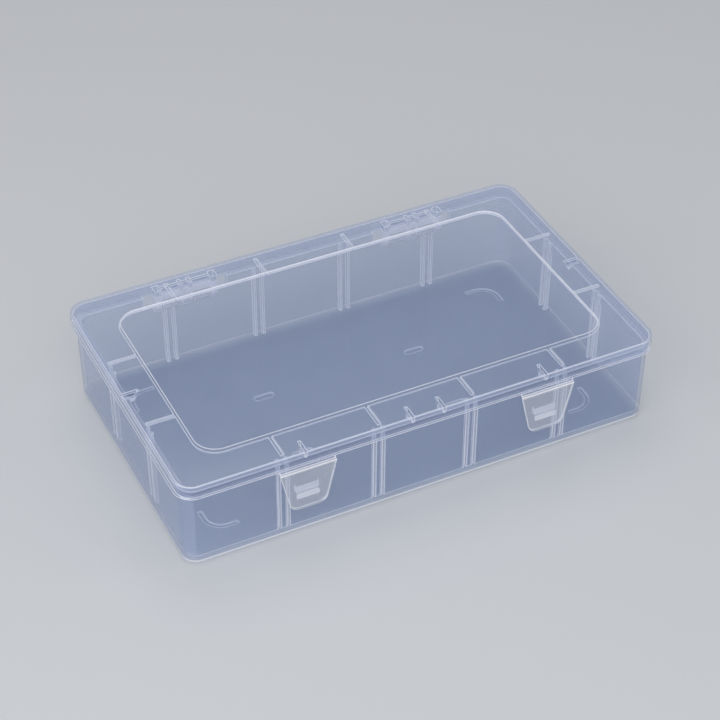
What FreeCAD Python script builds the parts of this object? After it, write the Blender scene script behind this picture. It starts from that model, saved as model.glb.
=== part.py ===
import FreeCAD, Part
import math
import os
import Sketcher
from FreeCAD import Vector

# Compartment storage organizer: a clear moulded box whose lid swings on two snap hinges at the back
# and closes with two flaps at the front. Lengths are in millimetres and angles in degrees.
# +X runs along the long side, -Y is the front with the flaps, +Z is up.
# The origin is under the middle of the whole box, on the surface that it stands on.

SHEET = "Dimensions"

# Two places closer than this count as one
NEAR = 0.01

# Driving sizes: alias, value, what it is
SIZES = [
    ("lid_length", 275, "lid, long side"),
    ("lid_width", 165, "lid, short side"),
    ("box_height", 55, "from the feet to the top of the lid"),
    ("lid_radius", 10.5, "lid corners in plan"),
    ("lid_thick", 1.4, "lid plate"),
    ("skirt_thick", 1.5, "lid skirt"),
    ("skirt_depth", 8.5, "lid skirt, from the top of the lid to its lower edge"),
    ("lid_edge_round", 1.2, "round on the lid's upper edge"),
    ("panel_length", 233, "sunk panel, long side"),
    ("panel_width", 123.6, "sunk panel, short side"),
    ("panel_radius", 12, "sunk panel, corners in plan"),
    ("panel_sink", 1.1, "how far the panel lies below the frame of the lid"),
    ("panel_wall", 0.9, "wall of the step round the panel"),
    ("panel_edge_round", 0.5, "round along the foot of the panel's step"),
    ("side_inset", 2.1, "lid outline to the base wall, in front and at the ends"),
    ("rear_inset", 4.3, "lid outline to the base wall at the back, where the skirt swings down"),
    ("rim_drop", 5, "top of the lid to the rim of the base"),
    ("base_radius", 8.5, "base corners in plan"),
    ("wall_thick", 2, "base wall below the rim band"),
    ("wall_lean", 0.45, "how far the base wall leans in from the rim to the floor"),
    ("floor_thick", 1.8, "base floor"),
    ("floor_round", 1.5, "round between the floor and the inside of the walls"),
    ("base_edge_round", 1, "round on the lower outer edge of the base"),
    ("band_thick", 3.2, "base wall at the rim band"),
    ("band_depth", 7, "height of the rim band"),
    ("band_chamfer_share", 0.9, "chamfer under the rim band, as a share of its step"),
    ("rim_round", 0.4, "round on the edges of the rim"),
    ("grid_pitch", 53.7, "distance between two dividers, both ways"),
    ("slot_gap", 3.4, "slot for a divider"),
    ("slot_rib_thick", 1.5, "rib beside a slot"),
    ("slot_rib_reach", 2.6, "how far a slot rib stands out from the wall"),
    ("foot_height", 0.8, "feet below the floor"),
    ("foot_thick", 2.2, "stacking foot, width of its ridge"),
    ("foot_arm", 16.5, "stacking foot, along each side"),
    ("foot_clear", 1.2, "stacking foot to the panel step of a lid below"),
    ("pad_length", 11.5, "long foot"),
    ("pad_width", 3.8, "long foot"),
    ("pad_place_x", 46.5, "long feet, from the middle"),
    ("pad_place_y", 25.6, "long feet, from the middle"),
    ("cross_rib_thick", 1.8, "rib under the frame of the lid"),
    ("cross_rib_height", 1, "rib under the frame of the lid"),
    ("cross_rib_stop", 4.5, "lid outline to the outer end of a rib under the frame"),
    ("fin_thick", 1.4, "locating fin"),
    ("fin_clear", 0.4, "locating fin to the inside of the rim"),
    ("seat_clear", 0.05, "locating fin to the top of the rim, which it rests on"),
    ("fin_depth", 2.4, "how far a locating fin reaches below the rim"),
    ("fin_tip", 2, "locating fin, width of its lower end"),
    ("fin_root", 5.2, "locating fin, width at the lid plate, from the rim inwards"),
    ("fin_place", 9, "inner pair of front fins, from the middle"),
    ("hinge_place", 70.2, "hinges, from the middle"),
    ("hinge_drop", 8, "rim to the hinge axis and to the floor of its notch"),
    ("hinge_inset", 2.2, "rear face of the base to the hinge axis"),
    ("notch_width", 49.5, "notch in the rear wall at a hinge"),
    ("bar_radius", 1.5, "hinge bar on the lid"),
    ("bar_clear", 0.06, "hinge bar to its knuckle, all round"),
    ("knuckle_radius", 3, "knuckle on the base"),
    ("knuckle_mouth", 2.5, "gap at the top of a knuckle that the bar snaps through"),
    ("knuckle_inner", 4, "knuckle, its end near the middle of the hinge"),
    ("knuckle_outer", 14.2, "knuckle, its end far from the middle of the hinge"),
    ("lug_radius", 2.7, "lug on the lid, round its bar"),
    ("lug_clear", 0.45, "lug to the side of a knuckle"),
    ("lug_thick", 3.6, "outer lug of a hinge"),
    ("web_thick", 1.6, "inner lug of a hinge"),
    ("lug_swing_clear", 1.3, "lug to the bottom of its slot in the rear wall"),
    ("tab_thick", 1.6, "tab of the lid that closes a hinge notch above its knuckles"),
    ("tab_clear", 0.4, "tab to the top of a knuckle"),
    ("latch_place", 69, "latches, from the middle"),
    ("latch_drop", 1.9, "skirt's lower edge to the latch axis"),
    ("latch_out", 1.1, "skirt's outer face to the latch axis"),
    ("flap_thick", 1.6, "latch flap"),
    ("flap_height", 25.5, "latch flap, below its axis"),
    ("flap_top_width", 31.6, "latch flap"),
    ("flap_foot_width", 19.5, "latch flap"),
    ("flap_corner", 5.5, "latch flap, lower corners"),
    ("flap_edge_round", 0.5, "latch flap, edges of its outer face"),
    ("strip_width", 31, "thin hinge strip between the skirt and a flap"),
    ("strip_thick", 0.5, "thin hinge strip"),
    ("strip_in_share", 0.35, "strip's lower end behind the latch axis, as a share of the flap's radius"),
    ("strip_up_share", 0.5, "strip's lower end above the latch axis, as a share of the flap's radius"),
    ("strip_clear", 0.06, "hinge strip to the round top of the flap"),
    ("hook_drop", 16.8, "latch axis to the top of the hook"),
    ("hook_height", 1.6, "hook on the inside of a flap"),
    ("hook_width", 12, "hook on the inside of a flap"),
    ("hook_clear", 0.15, "hook to the catch while the flap hangs straight"),
    ("catch_reach", 1.1, "catch on the front wall, how far it stands out"),
    ("catch_width", 13, "catch on the front wall"),
    ("catch_lip", 2.5, "catch, its straight part above the hook"),
    ("catch_ramp", 4.6, "catch, its slope above that"),
    ("catch_clear", 0.4, "hook to the underside of the catch"),
    ("catch_corner", 1.5, "catch, round of its lower corners"),
    ("overrun", 3, "how far a cut runs past what it cuts"),
    ("bite", 0.6, "how far an added piece is rooted in what carries it"),
]

# Sizes that follow from the driving ones: alias, formula
DERIVED = [
    ("half_length", "lid_length / 2"),
    ("half_width", "lid_width / 2"),
    ("flap_half_thick", "flap_thick / 2"),
    ("latch_proud", "latch_out + flap_half_thick"),
    ("lid_shift", "latch_proud / 2"),
    ("base_shift", "lid_shift + (side_inset - rear_inset) / 2"),
    ("skirt_z", "box_height - skirt_depth"),
    ("plate_z", "box_height - lid_thick"),
    ("plate_root_z", "plate_z + lid_thick / 2"),
    ("skirt_room", "skirt_depth - lid_thick"),
    ("skirt_inner_length", "lid_length - 2 * skirt_thick"),
    ("skirt_inner_width", "lid_width - 2 * skirt_thick"),
    ("skirt_inner_radius", "lid_radius - skirt_thick"),
    ("panel_z", "box_height - panel_sink"),
    ("tub_z", "panel_z - lid_thick"),
    ("tub_length", "panel_length + 2 * panel_wall"),
    ("tub_width", "panel_width + 2 * panel_wall"),
    ("tub_radius", "panel_radius + panel_wall"),
    ("rim_z", "box_height - rim_drop"),
    ("base_length", "lid_length - 2 * side_inset"),
    ("base_width", "lid_width - side_inset - rear_inset"),
    ("wall_height", "rim_z - foot_height"),
    ("foot_length_outline", "base_length - 2 * wall_lean"),
    ("foot_width_outline", "base_width - 2 * wall_lean"),
    ("foot_corner_radius", "base_radius - wall_lean"),
    ("band_length", "base_length - 2 * band_thick"),
    ("band_width", "base_width - 2 * band_thick"),
    ("band_radius", "base_radius - band_thick"),
    ("band_z", "rim_z - band_depth"),
    ("band_step", "band_thick - wall_thick"),
    ("band_chamfer", "band_step * band_chamfer_share"),
    ("band_lean", "wall_lean * band_depth / wall_height"),
    ("room_length", "base_length - 2 * wall_thick - 2 * band_lean"),
    ("room_width", "base_width - 2 * wall_thick - 2 * band_lean"),
    ("room_radius", "base_radius - wall_thick - band_lean"),
    ("floor_z", "foot_height + floor_thick"),
    ("room_depth", "band_z - floor_z"),
    ("rib_root_z", "foot_height + floor_thick / 2"),
    ("rib_height", "rim_z - rib_root_z"),
    ("rib_root_x", "base_length / 2 - wall_thick / 2"),
    ("rib_root_y", "base_width / 2 - wall_thick / 2"),
    ("rib_tip_x", "base_length / 2 - wall_thick - slot_rib_reach"),
    ("rib_tip_y", "base_width / 2 - wall_thick - slot_rib_reach"),
    ("first_slot", "grid_pitch / 2"),
    ("second_slot", "first_slot + grid_pitch"),
    ("slot_half", "slot_gap / 2"),
    ("slot_rib_far", "slot_gap / 2 + slot_rib_thick"),
    ("foot_ring_length", "panel_length - 2 * foot_clear"),
    ("foot_ring_width", "panel_width - 2 * foot_clear"),
    ("foot_ring_radius", "panel_radius - foot_clear"),
    ("foot_inner_length", "foot_ring_length - 2 * foot_thick"),
    ("foot_inner_width", "foot_ring_width - 2 * foot_thick"),
    ("foot_inner_radius", "foot_ring_radius - foot_thick"),
    ("foot_end_x", "foot_ring_length / 2 - foot_arm"),
    ("foot_end_y", "foot_ring_width / 2 - foot_arm"),
    ("foot_cut_x", "foot_ring_length / 2 + overrun"),
    ("foot_cut_y", "foot_ring_width / 2 + overrun"),
    ("pad_radius", "pad_width / 2"),
    ("pad_half_straight", "pad_length / 2 - pad_radius"),
    ("foot_root", "foot_height + floor_thick / 2"),
    ("cross_rib_half", "cross_rib_thick / 2"),
    ("cross_rib_z", "plate_z - cross_rib_height"),
    ("cross_rib_rise", "plate_root_z - cross_rib_z"),
    ("cross_root_x", "panel_length / 2 + panel_wall / 2"),
    ("cross_root_y", "panel_width / 2 + panel_wall / 2"),
    ("cross_end_x", "half_length - cross_rib_stop"),
    ("cross_end_y", "half_width - cross_rib_stop"),
    ("fin_face_x", "half_length - side_inset - band_thick - fin_clear"),
    ("fin_face_y", "half_width - side_inset - band_thick - fin_clear"),
    ("fin_outer_x", "half_length - skirt_thick + bite"),
    ("fin_outer_y", "half_width - skirt_thick + bite"),
    ("fin_root_x", "fin_face_x - fin_root"),
    ("fin_root_y", "fin_face_y - fin_root"),
    ("fin_tip_x", "fin_face_x - fin_tip"),
    ("fin_tip_y", "fin_face_y - fin_tip"),
    ("fin_over_z", "rim_z + seat_clear"),
    ("fin_low_z", "rim_z - fin_depth"),
    ("hinge_z", "rim_z - hinge_drop"),
    ("hinge_lid_y", "half_width - rear_inset - hinge_inset"),
    ("hinge_base_y", "base_width / 2 - hinge_inset"),
    ("notch_half", "notch_width / 2"),
    ("notch_top_z", "rim_z + overrun"),
    ("notch_start_y", "base_width / 2 + overrun"),
    ("notch_reach", "overrun + wall_thick + slot_rib_reach + bite"),
    ("bore_radius", "bar_radius + bar_clear"),
    ("knuckle_half_mouth", "knuckle_mouth / 2"),
    ("knuckle_span", "2 * knuckle_outer"),
    ("knuckle_top_z", "hinge_z + knuckle_radius + overrun"),
    ("lug_inner_face", "knuckle_outer + lug_clear"),
    ("lug_end", "lug_inner_face + lug_thick"),
    ("lug_span", "2 * lug_end"),
    ("web_outer_face", "knuckle_inner - lug_clear"),
    ("web_inner_face", "web_outer_face - web_thick"),
    ("lug_slot_end", "lug_end + lug_clear"),
    ("lug_slot_z", "hinge_z - lug_radius - lug_swing_clear"),
    ("lug_slot_reach", "overrun + hinge_inset + knuckle_radius + bite"),
    ("lug_low_z", "hinge_z - lug_radius - overrun"),
    ("lug_gap_height", "plate_z - lug_low_z"),
    ("lug_gap_front", "hinge_lid_y - lug_radius - overrun"),
    ("lug_gap_rear", "(hinge_lid_y + lug_radius + half_width - skirt_thick) / 2"),
    ("tab_front_y", "hinge_lid_y - tab_thick / 2"),
    ("tab_rear_y", "hinge_lid_y + tab_thick / 2"),
    ("tab_low_z", "hinge_z + knuckle_radius + tab_clear"),
    ("tab_height", "plate_root_z - tab_low_z"),
    ("latch_y", "half_width + latch_out"),
    ("latch_z", "skirt_z - latch_drop"),
    ("latch_model_y", "latch_y - lid_shift"),
    ("strip_bore", "flap_half_thick + strip_clear"),
    ("strip_outer_y", "half_width"),
    ("strip_inner_y", "half_width - strip_thick"),
    ("strip_low_outer_y", "latch_y - flap_half_thick * strip_in_share"),
    ("strip_low_inner_y", "strip_low_outer_y - strip_thick"),
    ("strip_low_z", "latch_z + flap_half_thick * strip_up_share"),
    ("strip_root_z", "skirt_z + bite"),
    ("flap_half_top", "flap_top_width / 2"),
    ("flap_half_foot", "flap_foot_width / 2"),
    ("flap_cut_x", "flap_half_top + overrun"),
    ("flap_cut_low", "flap_height + overrun"),
    ("catch_face_y", "base_width / 2 + catch_reach"),
    ("catch_root_y", "base_width / 2 - wall_thick / 2"),
    ("catch_low_z", "latch_z - hook_drop + catch_clear"),
    ("catch_lip_z", "catch_low_z + catch_lip"),
    ("catch_top_z", "catch_lip_z + catch_ramp"),
    ("hook_low", "hook_drop + hook_height"),
    ("hook_slope", "hook_low + hook_height"),
    ("hook_tip", "latch_y - half_width + side_inset - catch_reach - hook_clear"),
    ("hook_root", "flap_half_thick - bite"),
]

doc = FreeCAD.newDocument("CompartmentOrganizer")


def fillSheet():
    # One row per size: its alias, its value or formula, and what it is
    sheet = doc.addObject("Spreadsheet::Sheet", SHEET)
    row = 1
    for alias, value, note in SIZES:
        sheet.set("A%d" % row, alias)
        sheet.set("B%d" % row, str(value))
        sheet.set("C%d" % row, note)
        sheet.setAlias("B%d" % row, alias)
        row += 1
    for alias, rule in DERIVED:
        sheet.set("A%d" % row, alias)
        sheet.set("B%d" % row, "=" + rule)
        sheet.setAlias("B%d" % row, alias)
        row += 1
    doc.recompute()
    return sheet


sheet = fillSheet()


def size(words):
    # Adds up names from the sheet, such as "hinge_place - notch_half"
    total = 0.0
    sign = 1
    for word in words.split():
        if word == "+":
            sign = 1
        elif word == "-":
            sign = -1
        elif word != "0":
            total += sign * float(sheet.get(word))
    return total


def formula(words):
    # The same names as an expression on the sheet
    return " ".join(word if word in "+-0" else SHEET + "." + word for word in words.split())


def newBody(label):
    body = doc.addObject("PartDesign::Body", label)
    body.Label = label
    return body


def originPlane(body, role):
    for feature in body.Origin.OriginFeatures:
        if feature.Role == role:
            return feature
    raise RuntimeError("no plane " + role)


def newSketch(body, name, role, offset="0"):
    # A sketch on one of the body's own planes, moved along that plane's normal
    sketch = body.newObject("Sketcher::SketchObject", name)
    sketch.AttachmentSupport = [(originPlane(body, role), "")]
    sketch.MapMode = "FlatFace"
    if offset != "0":
        sketch.setExpression("AttachmentOffset.Base.z", formula(offset))
    return sketch


def setLength(sketch, kind, places, words):
    index = sketch.addConstraint(Sketcher.Constraint(kind, *places, size(words)))
    sketch.setExpression("Constraints[%d]" % index, formula(words))


def setPoint(sketch, line, end, across, up):
    # Ties one point to the sheet, or to an axis where its place there is zero
    if across == "0":
        sketch.addConstraint(Sketcher.Constraint("PointOnObject", line, end, -2))
    else:
        setLength(sketch, "DistanceX", (-1, 1, line, end), across)
    if up == "0":
        sketch.addConstraint(Sketcher.Constraint("PointOnObject", line, end, -1))
    else:
        setLength(sketch, "DistanceY", (-1, 1, line, end), up)


def addOutline(sketch, corners):
    # A closed outline of straight lines through corners given as names from the sheet
    points = [Vector(size(across), size(up), 0) for across, up in corners]
    lines = []
    for place, point in enumerate(points):
        following = points[(place + 1) % len(points)]
        lines.append(sketch.addGeometry(Part.LineSegment(point, following), False))
    for place, line in enumerate(lines):
        following = lines[(place + 1) % len(lines)]
        sketch.addConstraint(Sketcher.Constraint("Coincident", line, 2, following, 1))
    for line, (across, up) in zip(lines, corners):
        setPoint(sketch, line, 1, across, up)


def addBlock(sketch, left, right, low, high):
    addOutline(sketch, [(left, low), (right, low), (right, high), (left, high)])


def addRounded(sketch, length, width, radius):
    # A rectangle with round corners about the origin
    x = size(length) / 2
    y = size(width) / 2
    r = size(radius)
    quarter = math.pi / 2
    turned = [(x - r, -y + r, 3), (x - r, y - r, 0), (-x + r, y - r, 1), (-x + r, -y + r, 2)]
    sides = [
        (Vector(-x + r, -y, 0), Vector(x - r, -y, 0)),
        (Vector(x, -y + r, 0), Vector(x, y - r, 0)),
        (Vector(x - r, y, 0), Vector(-x + r, y, 0)),
        (Vector(-x, y - r, 0), Vector(-x, -y + r, 0)),
    ]
    lines = [sketch.addGeometry(Part.LineSegment(*side), False) for side in sides]
    arcs = []
    for centreX, centreY, turn in turned:
        circle = Part.Circle(Vector(centreX, centreY, 0), Vector(0, 0, 1), r)
        arc = Part.ArcOfCircle(circle, turn * quarter, (turn + 1) * quarter)
        arcs.append(sketch.addGeometry(arc, False))
    for place in range(4):
        following = lines[(place + 1) % 4]
        sketch.addConstraint(Sketcher.Constraint("Tangent", lines[place], 2, arcs[place], 1))
        sketch.addConstraint(Sketcher.Constraint("Tangent", arcs[place], 2, following, 1))
    for line in (lines[0], lines[2]):
        sketch.addConstraint(Sketcher.Constraint("Horizontal", line))
    for line in (lines[1], lines[3]):
        sketch.addConstraint(Sketcher.Constraint("Vertical", line))
    for arc in arcs[1:]:
        sketch.addConstraint(Sketcher.Constraint("Equal", arcs[0], arc))
    sketch.addConstraint(Sketcher.Constraint("Symmetric", arcs[0], 3, arcs[2], 3, -1, 1))
    setLength(sketch, "Radius", (arcs[0],), radius)
    setLength(sketch, "DistanceX", (lines[3], 1, lines[1], 1), length)
    setLength(sketch, "DistanceY", (lines[0], 1, lines[2], 1), width)


def addCircle(sketch, across, up, radius):
    circle = Part.Circle(Vector(size(across), size(up), 0), Vector(0, 0, 1), size(radius))
    index = sketch.addGeometry(circle, False)
    setPoint(sketch, index, 3, across, up)
    setLength(sketch, "Radius", (index,), radius)


def addTongue(sketch, across, up, radius, end, upward):
    # A strip with one round end about (across, up) and one square end at the height given
    x = size(across)
    y = size(up)
    r = size(radius)
    start = math.pi if upward else 0
    circle = Part.Circle(Vector(x, y, 0), Vector(0, 0, 1), r)
    arc = sketch.addGeometry(Part.ArcOfCircle(circle, start, start + math.pi), False)
    first = x - r if upward else x + r
    last = x + r if upward else x - r
    top = size(end)
    upLine = sketch.addGeometry(Part.LineSegment(Vector(last, y, 0), Vector(last, top, 0)), False)
    cap = sketch.addGeometry(Part.LineSegment(Vector(last, top, 0), Vector(first, top, 0)), False)
    downLine = sketch.addGeometry(Part.LineSegment(Vector(first, top, 0), Vector(first, y, 0)), False)
    sketch.addConstraint(Sketcher.Constraint("Tangent", arc, 2, upLine, 1))
    sketch.addConstraint(Sketcher.Constraint("Coincident", upLine, 2, cap, 1))
    sketch.addConstraint(Sketcher.Constraint("Coincident", cap, 2, downLine, 1))
    sketch.addConstraint(Sketcher.Constraint("Tangent", downLine, 2, arc, 1))
    sketch.addConstraint(Sketcher.Constraint("Vertical", upLine))
    sketch.addConstraint(Sketcher.Constraint("Horizontal", cap))
    setPoint(sketch, arc, 3, across, up)
    setLength(sketch, "Radius", (arc,), radius)
    setLength(sketch, "DistanceY", (-1, 1, cap, 1), end)


def addSlotted(sketch, across, up, half, radius):
    # A bar with two round ends, level, about (across, up)
    x = size(across)
    y = size(up)
    r = size(radius)
    far = size(half)
    quarter = math.pi / 2
    right = Part.Circle(Vector(x + far, y, 0), Vector(0, 0, 1), r)
    left = Part.Circle(Vector(x - far, y, 0), Vector(0, 0, 1), r)
    rightArc = sketch.addGeometry(Part.ArcOfCircle(right, -quarter, quarter), False)
    top = Part.LineSegment(Vector(x + far, y + r, 0), Vector(x - far, y + r, 0))
    topLine = sketch.addGeometry(top, False)
    leftArc = sketch.addGeometry(Part.ArcOfCircle(left, quarter, 3 * quarter), False)
    low = Part.LineSegment(Vector(x - far, y - r, 0), Vector(x + far, y - r, 0))
    lowLine = sketch.addGeometry(low, False)
    ring = [rightArc, topLine, leftArc, lowLine]
    for place, item in enumerate(ring):
        sketch.addConstraint(Sketcher.Constraint("Tangent", item, 2, ring[(place + 1) % 4], 1))
    sketch.addConstraint(Sketcher.Constraint("Equal", rightArc, leftArc))
    setLength(sketch, "Radius", (rightArc,), radius)
    setPoint(sketch, rightArc, 3, across + " + " + half, up)
    setPoint(sketch, leftArc, 3, across + " - " + half, up)


def extrude(body, kind, name, sketch, length, reverse=False, middle=False, lean=""):
    # A pad or a pocket; a middle one grows both ways from its sketch
    feature = body.newObject("PartDesign::" + kind, name)
    feature.Profile = sketch
    feature.Reversed = reverse
    if middle:
        feature.SideType = "Symmetric"
    feature.setExpression("Length", formula(length))
    if lean:
        feature.setExpression("TaperAngle", lean)
    return feature


def pad(body, name, sketch, length, reverse=False, middle=False, lean=""):
    return extrude(body, "Pad", name, sketch, length, reverse, middle, lean)


def pocket(body, name, sketch, length, reverse=False, middle=False, lean=""):
    return extrude(body, "Pocket", name, sketch, length, reverse, middle, lean)


def edgesWhere(feature, test):
    # Names of the edges of a feature that pass a test
    return ["Edge%d" % (place + 1) for place, edge in enumerate(feature.Shape.Edges) if test(edge)]


def edgesAt(feature, height):
    # Names of the level edges of a feature at one height
    def level(edge):
        box = edge.BoundBox
        return abs(box.ZMin - height) < NEAR and abs(box.ZMax - height) < NEAR

    return edgesWhere(feature, level)


def roundEdges(body, name, feature, names, radius):
    fillet = body.newObject("PartDesign::Fillet", name)
    fillet.Base = (feature, names)
    fillet.setExpression("Radius", formula(radius))
    doc.recompute()
    return fillet


def multiply(body, name, original, steps):
    # Repeats a feature by steps: ("mirror", plane role) or ("row", plane role, sizes)
    multi = body.newObject("PartDesign::MultiTransform", name)
    multi.Originals = [original]
    parts = []
    for place, step in enumerate(steps):
        partName = "%sStep%d" % (name, place + 1)
        if step[0] == "mirror":
            part = doc.addObject("PartDesign::Mirrored", partName)
            part.MirrorPlane = (originPlane(body, step[1]), [""])
        else:
            part = doc.addObject("PartDesign::LinearPattern", partName)
            part.Direction = (originPlane(body, step[1]), [""])
            part.Occurrences = 2
            part.setExpression("Length", formula(step[2]))
        parts.append(part)
    multi.Transformations = parts
    body.Tip = multi
    doc.recompute()
    return multi


def buildBase():
    # The tray: leaning walls, a thick rim band, slot ribs, feet, catches and hinge knuckles
    body = newBody("base_tray")
    body.setExpression("Placement.Base.y", formula("base_shift"))
    lean = "atan({0}.wall_lean / {0}.wall_height)".format(SHEET)

    outline = newSketch(body, "BaseOutline", "XY_Plane", "foot_height")
    addRounded(outline, "foot_length_outline", "foot_width_outline", "foot_corner_radius")
    block = pad(body, "BaseBlock", outline, "wall_height", lean=lean)
    doc.recompute()
    block = roundEdges(body, "BaseEdge", block, edgesAt(block, size("foot_height")), "base_edge_round")

    mouth = newSketch(body, "RimOutline", "XY_Plane", "rim_z")
    addRounded(mouth, "band_length", "band_width", "band_radius")
    pocket(body, "RimMouth", mouth, "band_depth")
    room = newSketch(body, "RoomOutline", "XY_Plane", "band_z")
    addRounded(room, "room_length", "room_width", "room_radius")
    hollow = pocket(body, "Room", room, "room_depth", lean="-" + lean)
    doc.recompute()
    hollow = roundEdges(body, "FloorEdge", hollow, edgesAt(hollow, size("floor_z")), "floor_round")

    def bandFoot(edge):
        box = edge.BoundBox
        level = abs(box.ZMin - size("band_z")) < NEAR and box.ZLength < NEAR
        inside = max(abs(box.XMin), abs(box.XMax)) < size("band_length") / 2 + NEAR
        return level and inside and max(abs(box.YMin), abs(box.YMax)) < size("band_width") / 2 + NEAR

    chamfer = body.newObject("PartDesign::Chamfer", "BandFoot")
    chamfer.Base = (hollow, edgesWhere(hollow, bandFoot))
    chamfer.setExpression("Size", formula("band_chamfer"))
    doc.recompute()
    roundEdges(body, "RimEdge", chamfer, edgesAt(chamfer, size("rim_z")), "rim_round")

    longRibs = newSketch(body, "LongWallRibs", "XY_Plane", "rib_root_z")
    for near, far in (("first_slot + slot_half", "first_slot + slot_rib_far"),
                      ("first_slot - slot_rib_far", "first_slot - slot_half")):
        addBlock(longRibs, near, far, "- rib_root_y", "- rib_tip_y")
    longPad = pad(body, "LongWallRibPair", longRibs, "rib_height")
    multiply(body, "LongWallRibPairs", longPad,
             [("row", "X_Axis", "grid_pitch"), ("mirror", "YZ_Plane"), ("mirror", "XZ_Plane")])

    endRibs = newSketch(body, "EndWallRibs", "XY_Plane", "rib_root_z")
    for near, far in (("first_slot + slot_half", "first_slot + slot_rib_far"),
                      ("first_slot - slot_rib_far", "first_slot - slot_half")):
        addBlock(endRibs, "- rib_root_x", "- rib_tip_x", near, far)
    endPad = pad(body, "EndWallRibPair", endRibs, "rib_height")
    multiply(body, "EndWallRibPairs", endPad, [("mirror", "YZ_Plane"), ("mirror", "XZ_Plane")])

    ring = newSketch(body, "FootRingOutline", "XY_Plane")
    addRounded(ring, "foot_ring_length", "foot_ring_width", "foot_ring_radius")
    addRounded(ring, "foot_inner_length", "foot_inner_width", "foot_inner_radius")
    pad(body, "FootRing", ring, "foot_root")
    gaps = newSketch(body, "FootGapOutline", "XY_Plane")
    addBlock(gaps, "- foot_end_x", "foot_end_x", "- foot_cut_y", "foot_cut_y")
    pocket(body, "FootGapsLong", gaps, "foot_height", reverse=True)
    endGaps = newSketch(body, "FootEndGapOutline", "XY_Plane")
    addBlock(endGaps, "- foot_cut_x", "foot_cut_x", "- foot_end_y", "foot_end_y")
    pocket(body, "FootGapsEnd", endGaps, "foot_height", reverse=True)
    padSketch = newSketch(body, "LongFootOutline", "XY_Plane")
    addSlotted(padSketch, "pad_place_x", "pad_place_y", "pad_half_straight", "pad_radius")
    longFoot = pad(body, "LongFoot", padSketch, "foot_root")
    multiply(body, "LongFeet", longFoot, [("mirror", "YZ_Plane"), ("mirror", "XZ_Plane")])

    catch = newSketch(body, "CatchProfile", "YZ_Plane", "latch_place")
    addOutline(catch, [
        ("- catch_root_y", "catch_low_z"),
        ("- catch_root_y", "catch_top_z"),
        ("- catch_face_y", "catch_lip_z"),
        ("- catch_face_y", "catch_low_z"),
    ])
    catchPad = pad(body, "Catch", catch, "catch_width", middle=True)
    catches = multiply(body, "Catches", catchPad, [("mirror", "YZ_Plane")])

    def catchCorner(edge):
        box = edge.BoundBox
        level = abs(box.ZMin - size("catch_low_z")) < NEAR and box.ZLength < NEAR
        return level and box.XLength < NEAR and box.YMax < 0

    roundEdges(body, "CatchCorners", catches, edgesWhere(catches, catchCorner), "catch_corner")

    for side, sign in (("Left", "- "), ("Right", "")):
        middle = sign + "hinge_place"
        notch = newSketch(body, side + "NotchOutline", "XZ_Plane", "- notch_start_y")
        addBlock(notch, middle + " - notch_half", middle + " + notch_half", "hinge_z", "notch_top_z")
        pocket(body, side + "Notch", notch, "notch_reach", reverse=True)
        knuckle = newSketch(body, side + "KnuckleProfile", "YZ_Plane", middle)
        addCircle(knuckle, "hinge_base_y", "hinge_z", "knuckle_radius")
        pad(body, side + "Knuckle", knuckle, "knuckle_span", middle=True)
        bore = newSketch(body, side + "BoreProfile", "YZ_Plane", middle)
        addCircle(bore, "hinge_base_y", "hinge_z", "bore_radius")
        pocket(body, side + "Bore", bore, "knuckle_span", middle=True)
        snap = newSketch(body, side + "MouthProfile", "YZ_Plane", middle)
        addBlock(snap, "hinge_base_y - knuckle_half_mouth", "hinge_base_y + knuckle_half_mouth",
                 "hinge_z", "knuckle_top_z")
        pocket(body, side + "Mouth", snap, "knuckle_span", middle=True)
        slots = newSketch(body, side + "LugSlotOutline", "XZ_Plane", "- notch_start_y")
        for near, far in ((" - lug_slot_end", " - knuckle_outer"), (" - knuckle_inner", " + knuckle_inner"),
                          (" + knuckle_outer", " + lug_slot_end")):
            addBlock(slots, middle + near, middle + far, "lug_slot_z", "notch_top_z")
        pocket(body, side + "LugSlots", slots, "lug_slot_reach", reverse=True)
    doc.recompute()
    return body


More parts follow.
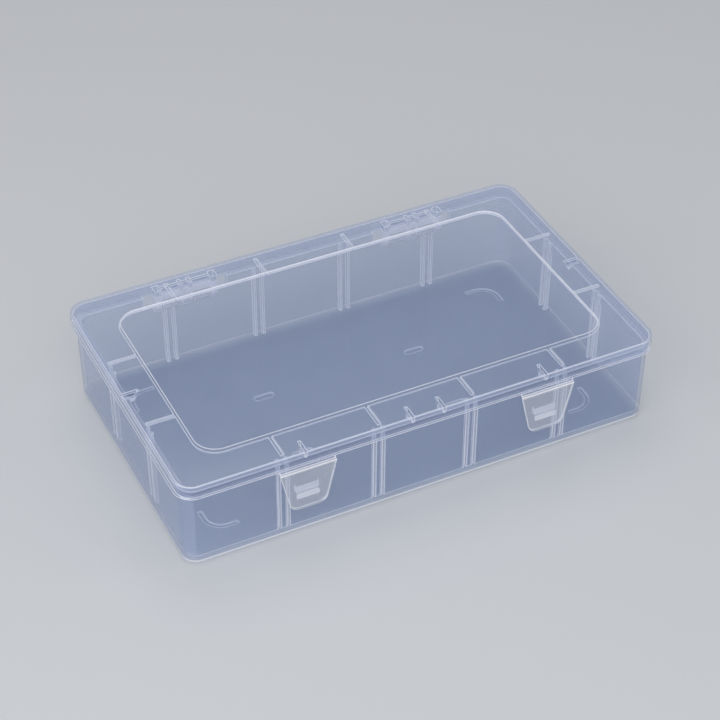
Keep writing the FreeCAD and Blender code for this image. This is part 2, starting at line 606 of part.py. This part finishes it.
def buildLid():
    # The lid: plate with a sunk panel, skirt, ribs and fins underneath, hinge lugs and hinge strips
    body = newBody("lid")
    body.setExpression("Placement.Base.y", formula("lid_shift"))

    outline = newSketch(body, "LidOutline", "XY_Plane", "skirt_z")
    addRounded(outline, "lid_length", "lid_width", "lid_radius")
    block = pad(body, "LidBlock", outline, "skirt_depth")
    doc.recompute()
    block = roundEdges(body, "LidEdge", block, edgesAt(block, size("box_height")), "lid_edge_round")

    hollow = newSketch(body, "SkirtInside", "XY_Plane", "skirt_z")
    addRounded(hollow, "skirt_inner_length", "skirt_inner_width", "skirt_inner_radius")
    pocket(body, "SkirtRoom", hollow, "skirt_room", reverse=True)
    tub = newSketch(body, "TubOutline", "XY_Plane", "tub_z")
    addRounded(tub, "tub_length", "tub_width", "tub_radius")
    pad(body, "Tub", tub, "panel_sink + lid_thick")
    panel = newSketch(body, "PanelOutline", "XY_Plane", "panel_z")
    addRounded(panel, "panel_length", "panel_width", "panel_radius")
    sunk = pocket(body, "SunkPanel", panel, "panel_sink", reverse=True)
    doc.recompute()
    roundEdges(body, "PanelEdge", sunk, edgesAt(sunk, size("panel_z")), "panel_edge_round")

    for side, sign in (("Left", "- "), ("Right", "")):
        middle = sign + "hinge_place"
        lugs = newSketch(body, side + "LugProfile", "YZ_Plane", middle)
        addTongue(lugs, "hinge_lid_y", "hinge_z", "lug_radius", "plate_root_z", True)
        pad(body, side + "Lugs", lugs, "lug_span", middle=True)
        gaps = newSketch(body, side + "LugGapOutline", "XY_Plane", "lug_low_z")
        for near, far in ((" - lug_inner_face", " - web_outer_face"),
                          (" - web_inner_face", " + web_inner_face"),
                          (" + web_outer_face", " + lug_inner_face")):
            addBlock(gaps, middle + near, middle + far, "lug_gap_front", "lug_gap_rear")
        pocket(body, side + "LugGaps", gaps, "lug_gap_height", reverse=True)
        bar = newSketch(body, side + "BarProfile", "YZ_Plane", middle)
        addCircle(bar, "hinge_lid_y", "hinge_z", "bar_radius")
        pad(body, side + "Bar", bar, "lug_span", middle=True)
        tab = newSketch(body, side + "TabOutline", "XY_Plane", "tab_low_z")
        addBlock(tab, middle + " - lug_end", middle + " + lug_end", "tab_front_y", "tab_rear_y")
        pad(body, side + "Tab", tab, "tab_height")

    for place in ("first_slot", "second_slot"):
        for side, sign in (("Left", "- "), ("Right", "")):
            name = side + place.split("_")[0].capitalize()
            near = sign + place + " - cross_rib_half"
            far = sign + place + " + cross_rib_half"
            ribs = newSketch(body, name + "RibOutline", "XY_Plane", "cross_rib_z")
            addBlock(ribs, near, far, "- cross_end_y", "- cross_root_y")
            addBlock(ribs, near, far, "cross_root_y", "cross_end_y")
            pad(body, name + "Ribs", ribs, "cross_rib_rise")
    endRib = newSketch(body, "EndRibOutline", "XY_Plane", "cross_rib_z")
    addBlock(endRib, "cross_root_x", "cross_end_x",
             "first_slot - cross_rib_half", "first_slot + cross_rib_half")
    endRibPad = pad(body, "EndRib", endRib, "cross_rib_rise")
    multiply(body, "EndRibs", endRibPad, [("mirror", "YZ_Plane"), ("mirror", "XZ_Plane")])

    for place in ("fin_place", "latch_place"):
        name = place.split("_")[0].capitalize() + "Fin"
        fin = newSketch(body, name + "Profile", "YZ_Plane", place)
        addOutline(fin, [
            ("- fin_outer_y", "plate_root_z"),
            ("- fin_outer_y", "fin_over_z"),
            ("- fin_face_y", "fin_over_z"),
            ("- fin_face_y", "fin_low_z"),
            ("- fin_tip_y", "fin_low_z"),
            ("- fin_root_y", "plate_root_z"),
        ])
        finPad = pad(body, name, fin, "fin_thick", middle=True)
        multiply(body, name + "s", finPad, [("mirror", "YZ_Plane")])
    endFin = newSketch(body, "EndFinProfile", "XZ_Plane")
    addOutline(endFin, [
        ("fin_outer_x", "plate_root_z"),
        ("fin_outer_x", "fin_over_z"),
        ("fin_face_x", "fin_over_z"),
        ("fin_face_x", "fin_low_z"),
        ("fin_tip_x", "fin_low_z"),
        ("fin_root_x", "plate_root_z"),
    ])
    endFinPad = pad(body, "EndFin", endFin, "fin_thick", middle=True)
    multiply(body, "EndFins", endFinPad, [("mirror", "YZ_Plane")])

    for side, sign in (("Left", "- "), ("Right", "")):
        middle = sign + "latch_place"
        strip = newSketch(body, side + "StripProfile", "YZ_Plane", middle)
        addOutline(strip, [
            ("- strip_outer_y", "strip_root_z"),
            ("- strip_outer_y", "skirt_z"),
            ("- strip_low_outer_y", "strip_low_z"),
            ("- strip_low_inner_y", "strip_low_z"),
            ("- strip_inner_y", "skirt_z"),
            ("- strip_inner_y", "strip_root_z"),
        ])
        pad(body, side + "Strip", strip, "strip_width", middle=True)
        seat = newSketch(body, side + "StripSeat", "YZ_Plane", middle)
        addCircle(seat, "- latch_y", "latch_z", "strip_bore")
        pocket(body, side + "StripEnd", seat, "flap_top_width", middle=True)
    doc.recompute()
    return body


def buildLatch(label, sign):
    # A flap with a round top on the hinge axis, sides that close in downwards, and a hook inside
    body = newBody(label)
    body.setExpression("Placement.Base.x", formula(sign + "latch_place"))
    body.setExpression("Placement.Base.y", formula("- latch_model_y"))
    body.setExpression("Placement.Base.z", formula("latch_z"))

    plate = newSketch(body, label + "_PlateProfile", "YZ_Plane")
    addTongue(plate, "0", "0", "flap_half_thick", "- flap_height", False)
    pad(body, label + "_Plate", plate, "flap_top_width", middle=True)
    sides = newSketch(body, label + "_SideCuts", "XZ_Plane")
    addOutline(sides, [
        ("flap_half_top", "flap_half_thick"),
        ("flap_half_foot", "- flap_height"),
        ("flap_half_foot", "- flap_cut_low"),
        ("flap_cut_x", "- flap_cut_low"),
        ("flap_cut_x", "flap_half_thick"),
    ])
    addOutline(sides, [
        ("- flap_half_top", "flap_half_thick"),
        ("- flap_half_foot", "- flap_height"),
        ("- flap_half_foot", "- flap_cut_low"),
        ("- flap_cut_x", "- flap_cut_low"),
        ("- flap_cut_x", "flap_half_thick"),
    ])
    trimmed = pocket(body, label + "_Sides", sides, "flap_thick + overrun", middle=True)
    doc.recompute()

    def lowerCorner(edge):
        box = edge.BoundBox
        level = abs(box.ZMin + size("flap_height")) < NEAR and box.ZLength < NEAR
        return level and box.XLength < NEAR

    def outerFace(edge):
        box = edge.BoundBox
        flat = abs(box.YMin + size("flap_half_thick")) < NEAR and box.YLength < NEAR
        return flat and box.ZMin < -NEAR

    shaped = roundEdges(body, label + "_Corners", trimmed, edgesWhere(trimmed, lowerCorner), "flap_corner")
    roundEdges(body, label + "_FaceEdge", shaped, edgesWhere(shaped, outerFace), "flap_edge_round")

    hook = newSketch(body, label + "_HookProfile", "YZ_Plane")
    addOutline(hook, [
        ("hook_root", "- hook_drop"),
        ("hook_tip", "- hook_drop"),
        ("hook_tip", "- hook_low"),
        ("hook_root", "- hook_slope"),
    ])
    pad(body, label + "_Hook", hook, "hook_width", middle=True)
    doc.recompute()
    return body


def checkDocument(bodies):
    for item in doc.Objects:
        if "Invalid" in item.State or "Error" in item.State:
            raise RuntimeError("failed: %s %s" % (item.Name, item.State))
    for body in bodies:
        shape = body.Shape
        if shape.isNull() or not shape.isValid() or len(shape.Solids) != 1:
            raise RuntimeError("bad shape: " + body.Label)


bodies = [buildBase(), buildLid(), buildLatch("latch_left", "- "), buildLatch("latch_right", "")]
doc.recompute()
checkDocument(bodies)
os.makedirs("parts", exist_ok=True)
for body in bodies:
    body.Shape.exportStep(os.path.join("parts", body.Label + ".step"))
    box = body.Shape.BoundBox
    print("%s volume %.1f mm3, x %.2f to %.2f, y %.2f to %.2f, z %.2f to %.2f" % (
        body.Label, body.Shape.Volume, box.XMin, box.XMax, box.YMin, box.YMax, box.ZMin, box.ZMax))
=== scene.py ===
import math

import bpy
from mathutils import Matrix, Vector

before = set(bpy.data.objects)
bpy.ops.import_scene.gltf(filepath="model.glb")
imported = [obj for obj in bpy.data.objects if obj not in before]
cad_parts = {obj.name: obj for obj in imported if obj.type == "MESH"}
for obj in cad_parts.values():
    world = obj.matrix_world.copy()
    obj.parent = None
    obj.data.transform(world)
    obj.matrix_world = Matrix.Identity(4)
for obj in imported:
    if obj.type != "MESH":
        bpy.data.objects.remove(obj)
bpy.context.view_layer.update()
print("frame loaded:", ", ".join(sorted(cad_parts)))

# Camera at the photograph's angle, aimed near the middle of the lid
cameraView = {
    "turn": -26.176,  # degrees round the box, from the front
    "rise": 39.318,  # degrees above the floor
    "roll": 0.184,
    "distance": 1.09559,
    "lens": 102.17,  # mm
    "sensor": 36,  # mm
    "clip": (0.01, 50),
    "aim": (0.0, 0.00095, 0.055),  # middle of the lid's top
    "aside": 0.000395,  # aim moved across the picture
    "above": -0.020738,  # and up it
}


def placeCamera(view):
    turn, rise, roll = (math.radians(view[key]) for key in ("turn", "rise", "roll"))
    flat = math.cos(rise)
    back = Vector((math.sin(turn) * flat, -math.cos(turn) * flat, math.sin(rise)))
    level = (-back).cross(Vector((0, 0, 1))).normalized()
    upright = level.cross(-back)
    across = math.cos(roll) * level + math.sin(roll) * upright
    up = math.cos(roll) * upright - math.sin(roll) * level
    aim = Vector(view["aim"]) + across * view["aside"] + up * view["above"]
    place = aim + back * view["distance"]
    data = bpy.data.cameras.new("photoCamera")
    data.lens = view["lens"]
    data.sensor_width = view["sensor"]
    data.clip_start, data.clip_end = view["clip"]
    camera = bpy.data.objects.new("photoCamera", data)
    camera.matrix_world = Matrix((
        (across.x, up.x, back.x, place.x),
        (across.y, up.y, back.y, place.y),
        (across.z, up.z, back.z, place.z),
        (0, 0, 0, 1),
    ))
    bpy.context.scene.collection.objects.link(camera)
    bpy.context.scene.camera = camera


placeCamera(cameraView)
print("camera placed")


def addMath(tree, operation, first, second, third=None):
    # One Math node; each input is a number or another node's output
    node = tree.nodes.new("ShaderNodeMath")
    node.operation = operation
    for place, value in enumerate((first, second, third)):
        if isinstance(value, (int, float)):
            node.inputs[place].default_value = value
        elif value is not None:
            tree.links.new(value, node.inputs[place])
    return node.outputs[0]


def addStep(tree, value, start, end):
    # Rises smoothly from 0 to 1 between two values
    node = tree.nodes.new("ShaderNodeMapRange")
    node.interpolation_type = "SMOOTHSTEP"
    node.inputs["From Min"].default_value = start
    node.inputs["From Max"].default_value = end
    tree.links.new(value, node.inputs["Value"])
    return node.outputs["Result"]


def addBlend(tree, share, first, second):
    # Mixes two shaders; the second one's share is a number or a node's output
    node = tree.nodes.new("ShaderNodeMixShader")
    if isinstance(share, float):
        node.inputs["Fac"].default_value = share
    else:
        tree.links.new(share, node.inputs["Fac"])
    tree.links.new(first.outputs[0], node.inputs[1])
    tree.links.new(second.outputs[0], node.inputs[2])
    return node


def addSeen(tree):
    # 1 for rays that carry what the eye sees, 0 for those that only carry light
    path = tree.nodes.new("ShaderNodeLightPath")
    seen = addMath(tree, "MAXIMUM", path.outputs["Is Camera Ray"], path.outputs["Is Glossy Ray"])
    return addMath(tree, "MAXIMUM", seen, path.outputs["Is Transmission Ray"])


# Pale floor that runs out into an even backdrop, and soft lamps
studio = {
    "floorColour": (0.50, 0.51, 0.53),
    "floorRoughness": 0.6,
    "floorShine": 0.2,
    "floorReach": 30.0,
    "floorDrop": 0.0002,
    "floorFade": (0.4, 1.3),  # metres from the box over which the floor turns into backdrop
    "backdropColour": (0.47, 0.48, 0.50),
    "worldColour": (0.93, 0.96, 1.0),
    "worldStrength": 0.38,
    "lampAim": (0, 0, 0.03),
    "lamps": [
        # name, place, size, watts, colour
        ("topSoftbox", (0.15, 0.55, 1.35), 1.1, 6.0, (1.0, 0.98, 0.96)),
        ("frontSoftbox", (-0.55, -1.25, 0.95), 1.7, 18.0, (1.0, 1.0, 1.0)),
        ("leftSoftbox", (-1.25, -0.20, 0.70), 1.3, 8.0, (1.0, 1.0, 1.0)),
        ("rightFill", (1.2, -0.8, 0.9), 1.2, 5.0, (0.95, 0.97, 1.0)),
    ],
}


def paintFloor(setting):
    paint = bpy.data.materials.new("studioFloorPaint")
    paint.use_nodes = True
    tree = paint.node_tree
    shader = tree.nodes["Principled BSDF"]
    shader.inputs["Base Color"].default_value = (*setting["floorColour"], 1)
    shader.inputs["Roughness"].default_value = setting["floorRoughness"]
    shader.inputs["Specular IOR Level"].default_value = setting["floorShine"]
    place = tree.nodes.new("ShaderNodeTexCoord")
    away = tree.nodes.new("ShaderNodeVectorMath")
    away.operation = "LENGTH"
    tree.links.new(place.outputs["Object"], away.inputs[0])
    fade = addStep(tree, away.outputs["Value"], *setting["floorFade"])
    even = tree.nodes.new("ShaderNodeEmission")
    even.inputs["Color"].default_value = (*setting["backdropColour"], 1)
    faded = addBlend(tree, addMath(tree, "MULTIPLY", fade, addSeen(tree)), shader, even)
    tree.links.new(faded.outputs[0], tree.nodes["Material Output"].inputs["Surface"])
    return paint


def buildFloor(setting):
    reach, low = setting["floorReach"], -setting["floorDrop"]
    corners = [
        (-reach, -reach, low),
        (reach, -reach, low),
        (reach, reach, low),
        (-reach, reach, low),
    ]
    mesh = bpy.data.meshes.new("studioFloor")
    mesh.from_pydata(corners, [], [(0, 1, 2, 3)])
    floor = bpy.data.objects.new("studioFloor", mesh)
    bpy.context.scene.collection.objects.link(floor)
    mesh.materials.append(paintFloor(setting))


def buildWorld(setting):
    # Soft light from all round; the eye sees the backdrop instead
    world = bpy.data.worlds.new("studioWorld")
    world.use_nodes = True
    tree = world.node_tree
    sky = tree.nodes["Background"]
    sky.inputs["Color"].default_value = (*setting["worldColour"], 1)
    sky.inputs["Strength"].default_value = setting["worldStrength"]
    backdrop = tree.nodes.new("ShaderNodeBackground")
    backdrop.inputs["Color"].default_value = (*setting["backdropColour"], 1)
    shown = addBlend(tree, addSeen(tree), sky, backdrop)
    tree.links.new(shown.outputs[0], tree.nodes["World Output"].inputs["Surface"])
    bpy.context.scene.world = world


def hangLamps(setting):
    for name, place, size, watts, colour in setting["lamps"]:
        lamp = bpy.data.lights.new(name, "AREA")
        lamp.shape = "SQUARE"
        lamp.size = size
        lamp.energy = watts
        lamp.color = colour
        holder = bpy.data.objects.new(name, lamp)
        holder.location = place
        towards = Vector(setting["lampAim"]) - Vector(place)
        holder.rotation_euler = towards.to_track_quat("-Z", "Y").to_euler()
        bpy.context.scene.collection.objects.link(holder)


buildFloor(studio)
buildWorld(studio)
hangLamps(studio)
bpy.context.scene.view_settings.view_transform = "Standard"
print("studio lit")

hingePlace = 0.0702  # middle of a hinge, from the middle of the box


def readPlace(tree, place):
    # Numbers that pick out parts of a piece: at is the place and far its distance from the middle,
    # X, Y and Z say which way a face points, and lean says the same without the sign
    fields = {}
    for source, plain, sized in (("Object", "at", "far"), ("Normal", "", "lean")):
        split = tree.nodes.new("ShaderNodeSeparateXYZ")
        tree.links.new(place.outputs[source], split.inputs[0])
        for axis in "XYZ":
            fields[plain + axis] = split.outputs[axis]
            fields[sized + axis] = addMath(tree, "ABSOLUTE", split.outputs[axis], 0.0)
    fields["corner"] = addMath(tree, "MULTIPLY", fields["leanX"], fields["leanY"])  # upright rounds
    level = addMath(tree, "SUBTRACT", 1.0, fields["leanZ"])
    fields["slant"] = addMath(tree, "MULTIPLY", fields["leanZ"], level)  # lying rounds and chamfers
    aside = addMath(tree, "SUBTRACT", fields["farX"], hingePlace)
    fields["hinge"] = addMath(tree, "ABSOLUTE", aside, 0.0)  # distance from the middle of a hinge
    return fields


def addSpots(tree, fields, spots, most):
    # The strongest of some hazes, each where all the fields that it names lie past their ranges
    for haze, where in spots:
        for field, (start, end) in where.items():
            haze = addMath(tree, "MULTIPLY", haze, addStep(tree, fields[field], start, end))
        most = addMath(tree, "MAXIMUM", most, haze)
    return most


def paintEdgeHighlights(tree, look):
    # Painted highlight: white haze along sharp edges, where a normal bent round the edge parts from
    # the true one
    bent = tree.nodes.new("ShaderNodeBevel")
    bent.samples = look["edgeSamples"]
    bent.inputs["Radius"].default_value = look["edgeWidth"]
    shape = tree.nodes.new("ShaderNodeNewGeometry")
    turned = tree.nodes.new("ShaderNodeVectorMath")
    turned.operation = "DOT_PRODUCT"
    tree.links.new(bent.outputs["Normal"], turned.inputs[0])
    tree.links.new(shape.outputs["Normal"], turned.inputs[1])
    edgeHighlight = addStep(tree, turned.outputs["Value"], *look["edgeTurn"])
    return addMath(tree, "MULTIPLY", edgeHighlight, look["edgeHighlightHaze"])


def addNoise(tree, place, scale, detail):
    node = tree.nodes.new("ShaderNodeTexNoise")
    node.inputs["Scale"].default_value = scale
    node.inputs["Detail"].default_value = detail
    tree.links.new(place.outputs["Object"], node.inputs["Vector"])
    return node.outputs["Fac"]


def addShine(tree, place, flow, look):
    # Uneven gloss on faintly rippled faces
    shine = tree.nodes.new("ShaderNodeBsdfGlossy")
    rough = tree.nodes.new("ShaderNodeMapRange")
    rough.inputs["To Min"].default_value = look["roughness"][0]
    rough.inputs["To Max"].default_value = look["roughness"][1]
    tree.links.new(flow, rough.inputs["Value"])
    tree.links.new(rough.outputs["Result"], shine.inputs["Roughness"])
    bump = tree.nodes.new("ShaderNodeBump")
    bump.inputs["Strength"].default_value = look["ripple"]
    bump.inputs["Distance"].default_value = look["rippleDepth"]
    ripple = addNoise(tree, place, look["rippleScale"], look["rippleDetail"])
    tree.links.new(ripple, bump.inputs["Height"])
    tree.links.new(bump.outputs["Normal"], shine.inputs["Normal"])
    return shine


def clearPlastic(name, look):
    # See-through plastic: tinted light goes straight through, milky haze lies in it, and shine
    # sits on top. The haze is thicker at flat angles and in thick places; white haze along edges
    # and on small parts is a painted highlight.
    material = bpy.data.materials.new(name)
    material.use_nodes = True
    tree = material.node_tree
    tree.nodes.clear()
    place = tree.nodes.new("ShaderNodeTexCoord")
    fields = readPlace(tree, place)
    # painted highlights: white haze along sharp edges and along the listed lines
    edgeHighlight = addSpots(tree, fields, look["highlightLines"], paintEdgeHighlights(tree, look))
    # more haze in thick places, and painted highlights on small parts
    hazeAndHighlight = addSpots(tree, fields, look["hazeAndHighlightSpots"], 0.0)

    flat = tree.nodes.new("ShaderNodeLayerWeight").outputs["Facing"]  # 0 square on, 1 edge on
    flow = addNoise(tree, place, look["flowScale"], look["flowDetail"])
    cloud = addMath(tree, "MULTIPLY_ADD", flow, look["cloud"], 1 - look["cloud"] / 2)
    grazing = addMath(tree, "POWER", flat, look["flatRise"])
    plain = addMath(tree, "MULTIPLY", cloud, look["haze"])
    soft = addMath(tree, "MULTIPLY_ADD", grazing, look["flatHaze"], plain)
    # share of haze, with the painted highlights in it
    hazeAndHighlightShare = addMath(tree, "MAXIMUM", addMath(tree, "MAXIMUM", soft, hazeAndHighlight), edgeHighlight)

    paint = tree.nodes.new("ShaderNodeMix")
    paint.data_type = "RGBA"
    paint.inputs["A"].default_value = (*look["faceColour"], 1)
    # white of the thicker haze and of the painted highlights
    paint.inputs["B"].default_value = (*look["whiteForHazeAndHighlight"], 1)
    whiter = addMath(tree, "MAXIMUM", edgeHighlight, addStep(tree, hazeAndHighlight, 0.0, look["whiteFrom"]))
    tree.links.new(whiter, paint.inputs["Factor"])

    haze = tree.nodes.new("ShaderNodeBsdfPrincipled")
    haze.inputs["Specular IOR Level"].default_value = 0.0
    haze.inputs["Roughness"].default_value = look["hazeRoughness"]
    tree.links.new(paint.outputs["Result"], haze.inputs["Base Color"])
    glow = tree.nodes.new("ShaderNodeBsdfTranslucent")
    tree.links.new(paint.outputs["Result"], glow.inputs["Color"])
    through = tree.nodes.new("ShaderNodeBsdfTransparent")
    through.inputs["Color"].default_value = (*look["tint"], 1)
    body = addBlend(tree, hazeAndHighlightShare, through, addBlend(tree, look["glow"], haze, glow))
    rise = addMath(tree, "POWER", flat, look["mirrorRise"])
    mirror = addMath(tree, "MULTIPLY_ADD", rise, 1 - look["mirror"], look["mirror"])
    whole = addBlend(tree, mirror, body, addShine(tree, place, flow, look))
    out = tree.nodes.new("ShaderNodeOutputMaterial")
    tree.links.new(whole.outputs[0], out.inputs["Surface"])
    return material


plasticLook = {
    "tint": (0.945, 0.962, 0.988),
    "haze": 0.06,  # share of light that the plain faces scatter
    "cloud": 0.3,  # how uneven that is
    "flowScale": 60.0,
    "flowDetail": 3,
    "flatHaze": 0.30,
    "flatRise": 3.0,
    "hazeRoughness": 0.6,
    # painted highlight along sharp edges, as a white haze
    "edgeHighlightHaze": 0.95,
    "edgeWidth": 0.0012,
    "edgeTurn": (0.99, 0.92),  # bent normal against true normal
    "edgeSamples": 8,
    "whiteFrom": 0.5,  # haze of a thick place or of a painted highlight that is quite white
    "glow": 0.35,
    "faceColour": (0.41, 0.52, 0.83),
    # white of the thicker haze and of the painted highlights
    "whiteForHazeAndHighlight": (0.99, 0.97, 0.98),
    "mirror": 0.04,  # reflected square on
    "mirrorRise": 5.0,
    "roughness": (0.06, 0.20),
    "ripple": 0.25,
    "rippleScale": 35.0,
    "rippleDetail": 2,
    "rippleDepth": 0.0004,
}

# Lines and spots: a haze, and the range of each field that leads to it. The white haze of the lines
# and of most spots is a painted highlight
steepFace = {"leanZ": (0.75, 0.35)}
slantFace = {"slant": (0.07, 0.12)}
noRound = {"corner": (0.25, 0.10)}
atHinge = {"hinge": (0.0192, 0.0188), "atY": (0.0728, 0.0736)}
inSkirt = {"farX": (0.1357, 0.1352), "farY": (0.0798, 0.0794)}
trayLook = dict(plasticLook, highlightLines=[
    (0.80, {"Z": (0.0, -0.05), **slantFace}),  # painted highlight on the lower edge and the underside of the rim band
    (0.80, {"atZ": (0.0490, 0.0494), **slantFace}),  # painted highlight on the rim
], hazeAndHighlightSpots=[
    (0.95, {"atZ": (0.0009, 0.0006), **steepFace}),  # painted highlight on the feet's outlines
    (0.55, {"atZ": (0.0030, 0.0024), **steepFace}),  # painted highlight along the lower edge
    (0.35, {"atZ": (0.0492, 0.0497)}),  # painted highlight on the rim
    (0.75, {"atY": (-0.0797, -0.0801)}),  # painted highlight on the catches
    (0.45, {"leanX": (0.5, 0.8), "farX": (0.1318, 0.1312), **noRound}),  # painted highlight on the slot ribs on the ends
    (0.45, {"leanY": (0.5, 0.8), "farY": (0.0756, 0.0752), **noRound}),  # painted highlight on the slot ribs on the long walls
    (0.15, {"corner": (0.05, 0.40)}),  # upright corners
    (0.50, {**atHinge, "atZ": (0.0375, 0.0385)}),  # painted highlight on the hinge knuckles
])
lidLook = dict(plasticLook, highlightLines=[
    (0.60, {"atZ": (0.0528, 0.0532), "slant": (0.18, 0.24)}),  # painted highlight line along the top edge
], hazeAndHighlightSpots=[
    (0.17, {"farX": (0.1354, 0.1359), **steepFace}),  # skirt at the ends
    (0.17, {"farY": (0.0790, 0.0796), **steepFace}),  # in front and behind
    (0.17, {"corner": (0.05, 0.25), **steepFace}),  # and at its corners
    (0.85, {"atZ": (0.0512, 0.0498), **inSkirt, **noRound}),  # painted highlight on the fins and hinge lugs
])
latchLook = dict(plasticLook, haze=0.26, faceColour=(0.80, 0.84, 0.91), highlightLines=[
    (0.80, slantFace),  # painted highlight on the edges all round
], hazeAndHighlightSpots=[
    (0.35, {"atZ": (0.0436, 0.0440)}),  # painted highlight on the bead along the hinge
    (0.70, {"atY": (-0.0818, -0.0814)}),  # painted highlight on the hook
])
plastics = {
    "trayPlastic": (trayLook, ["base_tray"]),
    "lidPlastic": (lidLook, ["lid"]),
    "latchPlastic": (latchLook, ["latch_left", "latch_right"]),
}

for finish, (look, pieces) in plastics.items():
    material = clearPlastic(finish, look)
    for node in pieces:
        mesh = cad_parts[node].data
        mesh.materials.clear()
        mesh.materials.append(material)
print("plastic on every piece")
